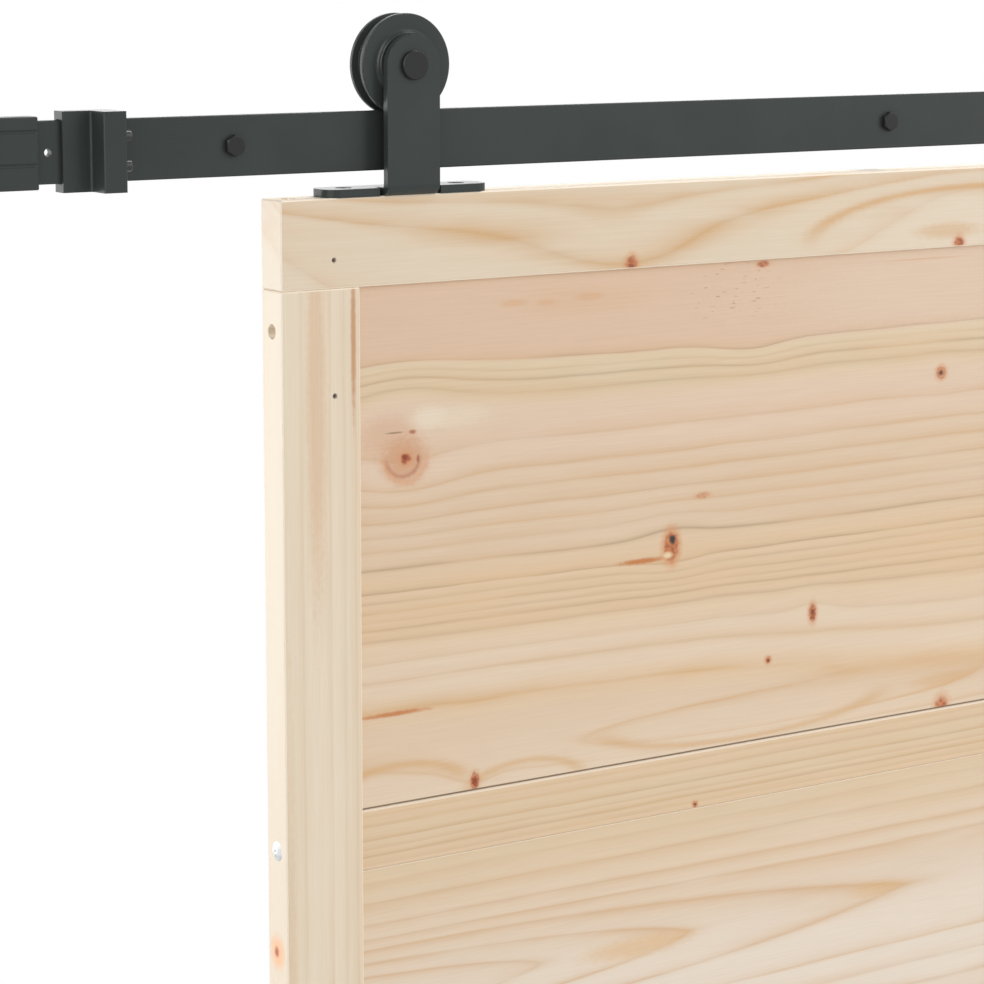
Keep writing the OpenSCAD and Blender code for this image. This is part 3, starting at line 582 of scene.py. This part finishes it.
def add_fibre(tone, fibre, blotch):
    """Fine light and dark lines, stronger in blue than in red, and slow blotches."""
    grain = fibre.soft_step(0.25, 0.75)
    shades = {i: 1.0 - weight * (1.0 - grain) - BLOTCH_SHADE * (blotch - 0.5)
              for i, weight in enumerate(FIBRE_SHADES)}
    shade = tone.node("CombineColor", {}, shades)
    return tone.node("Mix", {"data_type": "RGBA", "blend_type": "MULTIPLY"}, {0: 1.0, 6: tone, 7: shade}, 2)


def paint_face_light(tone, place, dusty):
    """Painted light and shade by where a face looks: paler sides, highlit eased edges, shade under a groove.
    """
    facing = place.node("TexCoord", {}, {}, "Normal")
    x, y, z = [place.node("SeparateXYZ", {}, {0: facing}, axis) for axis in range(3)]
    wide = [part.math("ABSOLUTE", part) for part in (x, y, z)]
    biggest = x.math("MAXIMUM", x.math("MAXIMUM", wide[0], wide[1]), wide[2])
    eased = biggest.soft_step(0.97, 0.85)
    front = wide[1].soft_step(0.2, 0.5)
    # painted light: faces that don't look to the front are paled
    tone = (0.5 * (1.0 - front)).mix(tone, PAINTED_SIDE_LIGHT)
    # painted highlight on eased edges that look to the front
    tone = (0.75 * eased * front).mix(tone, PAINTED_EDGE_HIGHLIGHT)
    # painted shade on eased front edges that look down, in a panel's groove
    return (dusty * eased * front * z.soft_step(-0.4, -0.65)).mix(tone, SHADED)


def pine(name, board):
    material, shader, place = start_material(name)
    point = board_point(place, board)
    seed = board["seed"]
    low, high = board["range"]
    share = (ring_place(point, board) - low) / (high - low)
    tone = share.ramp([((at - low) / (high - low), colour) for at, colour in board["tints"]])
    soft, thin = ring_lines(point, board, share)
    tone = (LATE_SHARE * soft).mix(tone, LATE)
    tone = (BROWN_SHARE * thin).mix(tone, BROWN)
    ragged = stretched(point, *RAGGED_SCALE, seed + 2).noise(1.0, 3.0, 0.6)
    fibre = stretched(point, *FIBRE_SCALE, seed + 3).noise(1.0, 4.0, 0.6)
    blotch = stretched(point, *BLOTCH_SCALE, seed + 4).noise(1.0, 2.0)
    tone = add_marks(tone, point, board, ragged)
    tone = add_fibre(tone, fibre, blotch)
    # painted light and shade by where each face looks
    tone = paint_face_light(tone, place, board["dusty"])
    for mark in board["side_marks"]:
        tone = add_streak(tone, point, mark, ragged)
    edge = place.node("Bevel", {"samples": 4}, {"Radius": EDGE_ROUND})
    bump = place.node("Bump", {}, {"Strength": 0.25, "Distance": FIBRE_DEPTH, "Height": fibre + 0.2 * soft,
                                   "Normal": edge})
    set_shader(shader, {"Base Color": tone, "Roughness": 0.5 + 0.16 * fibre, "Normal": bump})
    return material


print("pine ready")

# %% [markdown]
# The first panel is matched line by line: a smooth pink band at the top that ends in a brown line, straw
# below it, pale wood with fine lines, two strong grey lines, a tan stretch, and a slow loop near the bottom.
# A line is its place across the board, its shade and its thin line. A tint is a place and a colour.

# %% First panel
CREAM = srgb(228, 207, 182)
PALE = srgb(228, 209, 188)
PINK = srgb(221, 191, 164)
ROSE = srgb(225, 200, 176)
STRAW = srgb(223, 201, 170)
TAN = srgb(226, 199, 166)
WHEAT = srgb(223, 199, 172)
AMBER = srgb(212, 156, 102)
RESIN = srgb(196, 122, 62)
HONEY = srgb(212, 168, 114)
KERNEL = srgb(232, 215, 192)
PEACH = srgb(208, 158, 122)
BLUSH = srgb(230, 209, 188)
SPECK = srgb(164, 88, 42)
SLIVER = srgb(164, 84, 56)
KNOT_ARC = srgb(164, 84, 44)
KNOT_HEART = srgb(140, 50, 20)
CHIP = srgb(238, 216, 178)
# dark colour of a chip, and of the painted shade in pilot holes
COAL = srgb(40, 34, 28)
FACE = -38.0  # mm, the front of a panel
EDGE = -41.5  # mm, the front of the frame
PANEL_TOP = -96.5
PANEL_HEIGHT = 361.6
# strength of the painted shade under a panel's lower edge
GROOVE_SHADE_SHARE = 0.85
PLAIN = {"upright": False, "wander": 9.0, "soft": 4.5, "fold": None, "dusty": 0.0, "sways": (), "pushes": (),
         "loops": (), "streaks": (), "arcs": (), "knots": (), "chips": (), "flecks": (), "side_marks": ()}


def lying(start, front, width, seed, **extra):
    """A board with level grain. Its start is the height of its top edge, in mm."""
    return {**PLAIN, "start": start, "front": front, "range": (0.0, width), "seed": seed, **extra}


panel_1 = lying(
    PANEL_TOP, FACE, PANEL_HEIGHT, 1, dusty=GROOVE_SHADE_SHARE,
    lines=((59, 0.6, 0.9), (66, 0.3, 0.2), (73, 0.6, 0.7), (82, 0.5, 0.4), (114, 0.6, 0.15), (133, 0.7, 0.2),
           (146, 0.7, 0.2), (160, 0.7, 0.3), (172, 0.6, 0.2), (183, 0.5, 0.15), (196, 0.5, 0.95),
           (212, 0.5, 0.95), (218, 0.3, 0.35), (225, 0.5, 0.45), (231, 0.3, 0.35), (237, 0.5, 0.65),
           (245, 0.5, 0.45), (261, 0.4, 0.2), (274, 0.6, 0.2), (296, 0.9, 0.05), (330, 0.9, 0.0)),
    tints=((0, PINK), (58, PINK), (60, STRAW), (84, STRAW), (96, ROSE), (122, ROSE), (142, WHEAT),
           (190, WHEAT), (206, TAN), (240, TAN), (262, CREAM), (284, CREAM), (298, TAN), (312, WHEAT),
           (PANEL_HEIGHT, CREAM)),
    sways=((-410, 62, 40, 22, -7), (-652, 345, 22, 30, -16), (-190, 315, 210, 60, -22)),
    pushes=((-709, 106, 48, 40, 0.6), (-482, 205, 34, 22, 0.5), (-349, 270, 24, 16, 0.4),
            (-226, 96, 20, 14, 0.3)),
    loops=((-415, 342, 225, 17, -1.9),),
    streaks=(((-718, 297), (32, 2.0), RESIN, 0.9), ((-620, 19), (13, 3.0), AMBER, 0.35),
             ((-592, 20), (10, 2.8), AMBER, 0.3), ((-556, 18), (15, 3.2), AMBER, 0.35),
             ((-722, 103), (26, 17), PEACH, 0.4), ((-670, 94), (36, 9), KERNEL, 0.6),
             ((-689, 93), (15, 9), KERNEL, 0.85), ((-560, 20), (70, 12), AMBER, 0.15),
             ((-245, 8), (46, 0.8), AMBER, 0.7), ((-508, 213), (24, 2.4), RESIN, 0.95),
             ((-709, 120), (21, 18), PEACH, 0.9), ((-717, 101.5), (8, 0.8), BROWN, 0.7),
             ((-702.5, 102), (3.2, 1.7), SPECK, 0.8), ((-698, 121), (1.5, 3.4), SLIVER, 0.8),
             ((-222, 338), (34, 6), HONEY, 0.4), ((-200, 28), (230, 40), BLUSH, 0.4)),
    arcs=(((-710, 119), (13.5, 13.2), 0.12, KNOT_ARC, 0.5, 1),
          ((-708, 117), (17.5, 19.5), 0.15, HALO, 0.45, 1), ((-715, 352), (52, 18), 0.17, HONEY, 0.65, -1),
          ((-610, 363), (48, 17), 0.14, HONEY, 0.55, -1), ((-412, 335), (131, 22), 0.1, HONEY, 0.55, 1)),
    knots=(((-708, 120), (4.0, 3.6), 0.7, 0.95, 0.1, 0.5), ((-482, 205), (5.6, 9.6), 1.0, 0.8, 0.3, 0.1),
           ((-226, 96.5), (4.2, 4.2), 0.75, 0.5, 0.3, 0.9), ((-349, 270), (3.2, 6.2), 0.7, 0.95, 0.2, 0.7),
           ((-391, 301), (2.5, 2.5), 0.6, 0.8, 0.2, 0.9), ((-652, 354.5), (3.4, 5.6), 0.4, 1.0, 0.5, 0.2),
           ((-401, 3.5), (5, 2.2), 0.4, 0.8, 0.2, 0.0), ((-454, 170), (6, 2.2), 0.3, 0.4, 0.0, 0.0),
           ((-218, 361), (6, 8), 0.6, 0.85, 0.1, 0.0)),
    chips=(((-485, 211), (4.6, 2.8), CHIP, 0.9), ((-481, 200), (3.3, 4.0), COAL, 1.0),
           ((-708.5, 119.3), (2.8, 2.6), KNOT_HEART, 0.95)),
    flecks=(((-428, 22), (48, 26)),))
paint(pine("pine_panel_1", panel_1), "panel_1")
print("panel_1: lines", len(panel_1["lines"]), "knots", len(panel_1["knots"]))

# %% [markdown]
# The top rail was sawn across a branch: its lines sink towards a knot at the lower edge and rise again, and
# a big arch opens to the right. Two dark spots are painted shade in the bottoms of pilot holes.

# %% Top rail
IVORY = srgb(226, 209, 185)
MILKY = srgb(231, 217, 199)
RAIL_TOP = -36.5  # mm
FRAME_WIDTH = 60.0
# reach of the painted shade in a pilot hole
PILOT_HOLE_SHADE = (1.9, 1.9)
top_rail = lying(
    RAIL_TOP, EDGE, FRAME_WIDTH, 2, range=(-62.0, 110.0), wander=4.0, soft=4.5,
    lines=((-34, 0.4, 0.1), (-20, 0.5, 0.1), (-9, 0.5, 0.1), (2, 1.0, 0.1), (14, 1.2, 0.15), (62, 0.05, 0.0)),
    tints=((-62, IVORY), (30, IVORY), (110, PALE)),
    sways=((-550, 60, 240, 42, -30), (-525, 60, 75, 42, -13)),
    loops=((-200, 30, 120, 400, 0.98), (-850, 30, 83, 400, 0.9)),
    streaks=(((-205, 30), (150, 40), MILKY, 0.35), ((-226, 47), (36, 7), HONEY, 0.5)),
    arcs=(((-195, 52), (165, 38), 0.06, HONEY, 0.75, -1),),
    # painted shade in the bottoms of two pilot holes
    chips=(((-765.3, 41), PILOT_HOLE_SHADE, COAL, 1.0), ((154.7, 41), PILOT_HOLE_SHADE, COAL, 1.0)),
    knots=(((-522, 57), (4.6, 5.4), 0.7, 0.9, 0.2, 0.3), ((-214, 57), (4.4, 4.4), 0.7, 0.9, 0.2, 0.2)))
paint(pine("pine_top_rail", top_rail), "top_rail")
print("top_rail: lines", len(top_rail["lines"]))

# %% [markdown]
# The narrow rail between the panels has straight, close lines. The second panel shows nested flames: a deep
# hollow in the ring count whose right-hand ends are the pointed tips.

# %% Cross rail and second panel
DRY = srgb(233, 219, 203)
FLAME = srgb(222, 180, 124)
CROSS_TOP = -458.1  # mm
CROSS_HEIGHT = 43.0
PITCH = PANEL_HEIGHT + CROSS_HEIGHT
cross_rail_1 = lying(
    CROSS_TOP, FACE, CROSS_HEIGHT, 3, wander=5.0, soft=3.0,
    lines=((5, 0.4, 0.2), (12, 0.5, 0.3), (22, 0.7, 0.4), (28, 0.4, 0.2), (33, 0.7, 0.4), (39, 0.4, 0.2)),
    tints=((0, TAN), (20, STRAW), (CROSS_HEIGHT, TAN)),
    knots=(((-458, 40), (2.2, 2.2), 0.6, 0.7, 0.2, 0.9),))
paint(pine("pine_cross_rail_1", cross_rail_1), "cross_rail_1")

panel_2 = lying(
    PANEL_TOP - PITCH, FACE, PANEL_HEIGHT, 4, wander=6.0, soft=6.0, fold=94.0, dusty=GROOVE_SHADE_SHARE,
    lines=((10, 0.4, 0.1), (26, 0.6, 0.2), (46, 0.7, 0.2), (60, 0.8, 0.15), (138, 0.8, 0.15),
           (158, 0.5, 0.2), (176, 0.6, 0.2), (197, 0.4, 0.2), (215, 0.6, 0.3), (236, 0.5, 0.2),
           (260, 0.6, 0.3), (281, 0.5, 0.2), (302, 0.5, 0.2), (325, 0.6, 0.3), (344, 0.5, 0.2)),
    tints=((0, STRAW), (40, CREAM), (80, PALE), (122, DRY), (168, DRY), (240, ROSE), (PANEL_HEIGHT, CREAM)),
    loops=((-900, 94, 431, 34, -3.97),),
    streaks=(((-510, 97), (52, 9), FLAME, 0.55), ((-282, 92), (30, 7), FLAME, 0.4)),
    knots=(((40, 210), (6, 7), 0.6, 0.9, 0.2, 0.4), ((-560, 300), (4, 5), 0.6, 0.9, 0.2, 0.3)))
paint(pine("pine_panel_2", panel_2), "panel_2")
print("cross_rail_1 and panel_2 painted")

# %% [markdown]
# A stile is an upright board, so its grain runs down. The left one has a pink tongue near the top, another
# along its outer edge lower down, a thin brown scratch of resin beside the panel, and an orange knot in its
# side.

# %% Left stile
TONGUE = srgb(221, 192, 160)
SCRATCH = srgb(192, 132, 84)
SIDE_ORANGE = srgb(244, 188, 142)
SIDE_RED = srgb(180, 86, 54)
STILE_OUTER = srgb(231, 216, 192)
STILE_MIDDLE = srgb(233, 218, 197)
STILE_INNER = srgb(229, 213, 189)
DOOR_LEFT = -805.3  # mm


def standing(start, front, width, seed, **extra):
    """A board with upright grain. Its start is the place of its left edge, in mm."""
    return lying(start, front, width, seed, upright=True, **extra)


stile_left = standing(
    DOOR_LEFT, EDGE, FRAME_WIDTH, 5, wander=4.0, soft=5.0,
    lines=((14, 0.3, 0.1), (36, 0.4, 0.1), (47, 0.3, 0.1), (56, 0.4, 0.1)),
    tints=((0, STILE_OUTER), (30, STILE_MIDDLE), (FRAME_WIDTH, STILE_INNER)),
    streaks=(((170, 25.5), (165, 8.5), TONGUE, 0.85), ((800, 3.5), (430, 6), TONGUE, 0.7),
             ((130, 54.5), (62, 2.2), SCRATCH, 0.75)),
    # painted shade in the bottom of a pilot hole
    chips=(((168.5, 40), PILOT_HOLE_SHADE, COAL, 1.0),),
    side_marks=(((551, 0, 14.5), (13, 10, 11.5), SIDE_ORANGE, 0.85),
                ((551, 0, 15.5), (4.5, 10, 3.4), SIDE_RED, 0.9)))
paint(pine("pine_stile_left", stile_left), "stile_left")
print("stile_left painted")

# %% [markdown]
# The photograph doesn't show the other boards, so a rule draws them: rings of random width and strength,
# tints from the same family, two or three knots, and a flame on each wide board. A seed per board keeps
# every run the same.

# %% Other boards
WIDE = 100.0  # mm
MOST_LINES = 26
SHADES = (0.4, 0.5, 0.6, 0.8)
THIN_LINES = (0.1, 0.2, 0.3, 0.8)
FAMILY = (CREAM, PALE, ROSE, STRAW, TAN, IVORY)


def drawn_board(make, start, front, width, seed, span):
    draw = random.Random(seed)
    wide = width > WIDE
    lines = []
    at = draw.uniform(6, 18)
    while at < width - 3 and len(lines) < MOST_LINES:
        lines.append((at, draw.choice(SHADES), draw.choice(THIN_LINES)))
        at += draw.uniform(8, 24) if wide else draw.uniform(7, 14)
    tints = [(width * i / 5, draw.choice(FAMILY)) for i in range(6)]
    knots = []
    pushes = []
    for _ in range(3 if wide else 2):
        size = draw.uniform(2.5, 8) if wide else draw.uniform(2, 4)
        spot = (draw.uniform(*span), draw.uniform(0.1, 0.9) * width)
        reach = (size, size * draw.uniform(0.9, 1.4))
        knots.append((spot, reach, 0.7, draw.uniform(0.5, 0.95), 0.2, 0.4))
        pushes.append((*spot, 4.5 * size, 3 * size, 0.5))
    loops = ()
    if wide:
        loops = ((draw.uniform(*span), draw.uniform(0.25, 0.75) * width, draw.uniform(200, 420), 34,
                  draw.choice((-2.6, -1.4, 1.6))),)
    # wide boards are panels, with painted shade in the groove under their lower edge
    return make(start, front, width, seed, lines=lines, tints=tints, knots=knots, pushes=pushes, loops=loops,
                dusty=GROOVE_SHADE_SHARE if wide else 0.0)


BOTTOM_RAIL_TOP = -2076.5  # mm
RIGHT_STILE_LEFT = 134.7
LYING_SPAN = (-740.0, 130.0)
STANDING_SPAN = (100.0, 2070.0)
drawn = {"bottom_rail": drawn_board(lying, BOTTOM_RAIL_TOP, EDGE, FRAME_WIDTH, 21, LYING_SPAN),
         "stile_right": drawn_board(standing, RIGHT_STILE_LEFT, EDGE, FRAME_WIDTH, 22, STANDING_SPAN)}
for i in (3, 4, 5):
    top = PANEL_TOP - (i - 1) * PITCH
    drawn[f"panel_{i}"] = drawn_board(lying, top, FACE, PANEL_HEIGHT, 30 + i, LYING_SPAN)
for i in (2, 3, 4):
    top = CROSS_TOP - (i - 1) * PITCH
    drawn[f"cross_rail_{i}"] = drawn_board(lying, top, FACE, CROSS_HEIGHT, 40 + i, LYING_SPAN)
for name, board in drawn.items():
    paint(pine("pine_" + name, board), name)
print("drawn boards:", sorted(drawn))

# %% [markdown]
# The corner dowels are beech: even, pinkish, with short dark flecks. They hide inside the joints, so the
# finish only shows when the door is taken apart.

# %% Beech dowels
BEECH_PALE = srgb(222, 186, 148)
BEECH_DARK = srgb(176, 128, 92)
FLECK_SCALE = (90.0, 1500.0, 1500.0)  # per metre


def beech(name):
    material, shader, place = start_material(name)
    flecks = place.vector("MULTIPLY", place, FLECK_SCALE).noise(1.0, 3.0)
    tone = flecks.soft_step(0.45, 0.75).mix(BEECH_PALE, BEECH_DARK)
    bump = place.node("Bump", {}, {"Strength": 0.2, "Distance": 0.05 * MM, "Height": flecks})
    set_shader(shader, {"Base Color": tone, "Roughness": 0.55 + 0.1 * flecks, "Normal": bump})
    return material


paint(beech("beech_dowels"), "corner_dowels")
print("dowels painted")

# %% [markdown]
# The wall bolts are plain rods in the model, because the thread only touches the wall. Here each gets its
# coarse wood thread: a small triangle, swept round and along the bolt by the Screw modifier, with its ends
# closed.

# %% Bolt threads
BOLT_PLACES = (-0.834, -0.278, 0.278, 0.834)  # metres along the rail
THREAD_ROOT = 3.6 * MM
THREAD_CREST = 4.5 * MM
THREAD_PITCH = 3.6 * MM
THREAD_HALF = 0.36 * THREAD_PITCH
THREAD_START = 2.6 * MM
THREAD_TURNS = 11
THREAD_STEPS = 24
WELD = 0.01 * MM


def sweep_thread(made):
    sweep = made.modifiers.new("thread", "SCREW")
    sweep.axis = "Y"
    sweep.angle = math.tau
    sweep.screw_offset = THREAD_PITCH
    sweep.iterations = THREAD_TURNS
    sweep.steps = THREAD_STEPS
    sweep.render_steps = THREAD_STEPS
    sweep.use_smooth_shade = False
    bpy.ops.object.modifier_apply(modifier="thread")


def close_thread(x):
    """Welds the sweep, fills its two ends and moves it along the rail to x."""
    bpy.ops.object.mode_set(mode="EDIT")
    bpy.ops.mesh.select_all(action="SELECT")
    bpy.ops.mesh.remove_doubles(threshold=WELD)
    bpy.ops.mesh.fill_holes(sides=3)
    bpy.ops.mesh.select_all(action="SELECT")
    bpy.ops.mesh.normals_make_consistent(inside=False)
    bpy.ops.transform.translate(value=(x, 0, 0))
    bpy.ops.object.mode_set(mode="OBJECT")


def add_thread(name, x):
    bpy.ops.object.select_all(action="DESELECT")
    bpy.ops.mesh.primitive_circle_add(vertices=3, radius=1.0, fill_type="NOTHING", location=(0, 0, 0))
    made = bpy.context.object
    made.name = name
    corners = ((THREAD_ROOT, THREAD_START - THREAD_HALF), (THREAD_CREST, THREAD_START),
               (THREAD_ROOT, THREAD_START + THREAD_HALF))
    for vertex, (radius, y) in zip(made.data.vertices, corners):
        vertex.co = (radius, y, 0.0)
    sweep_thread(made)
    close_thread(x)
    made.data.materials.append(dark_oxide)
    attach(made, "track")
    return made


threads = [add_thread(f"wall_thread_{i + 1}", x) for i, x in enumerate(BOLT_PLACES)]
print("threads:", [t.name for t in threads])

# %% Finish
print("finished")
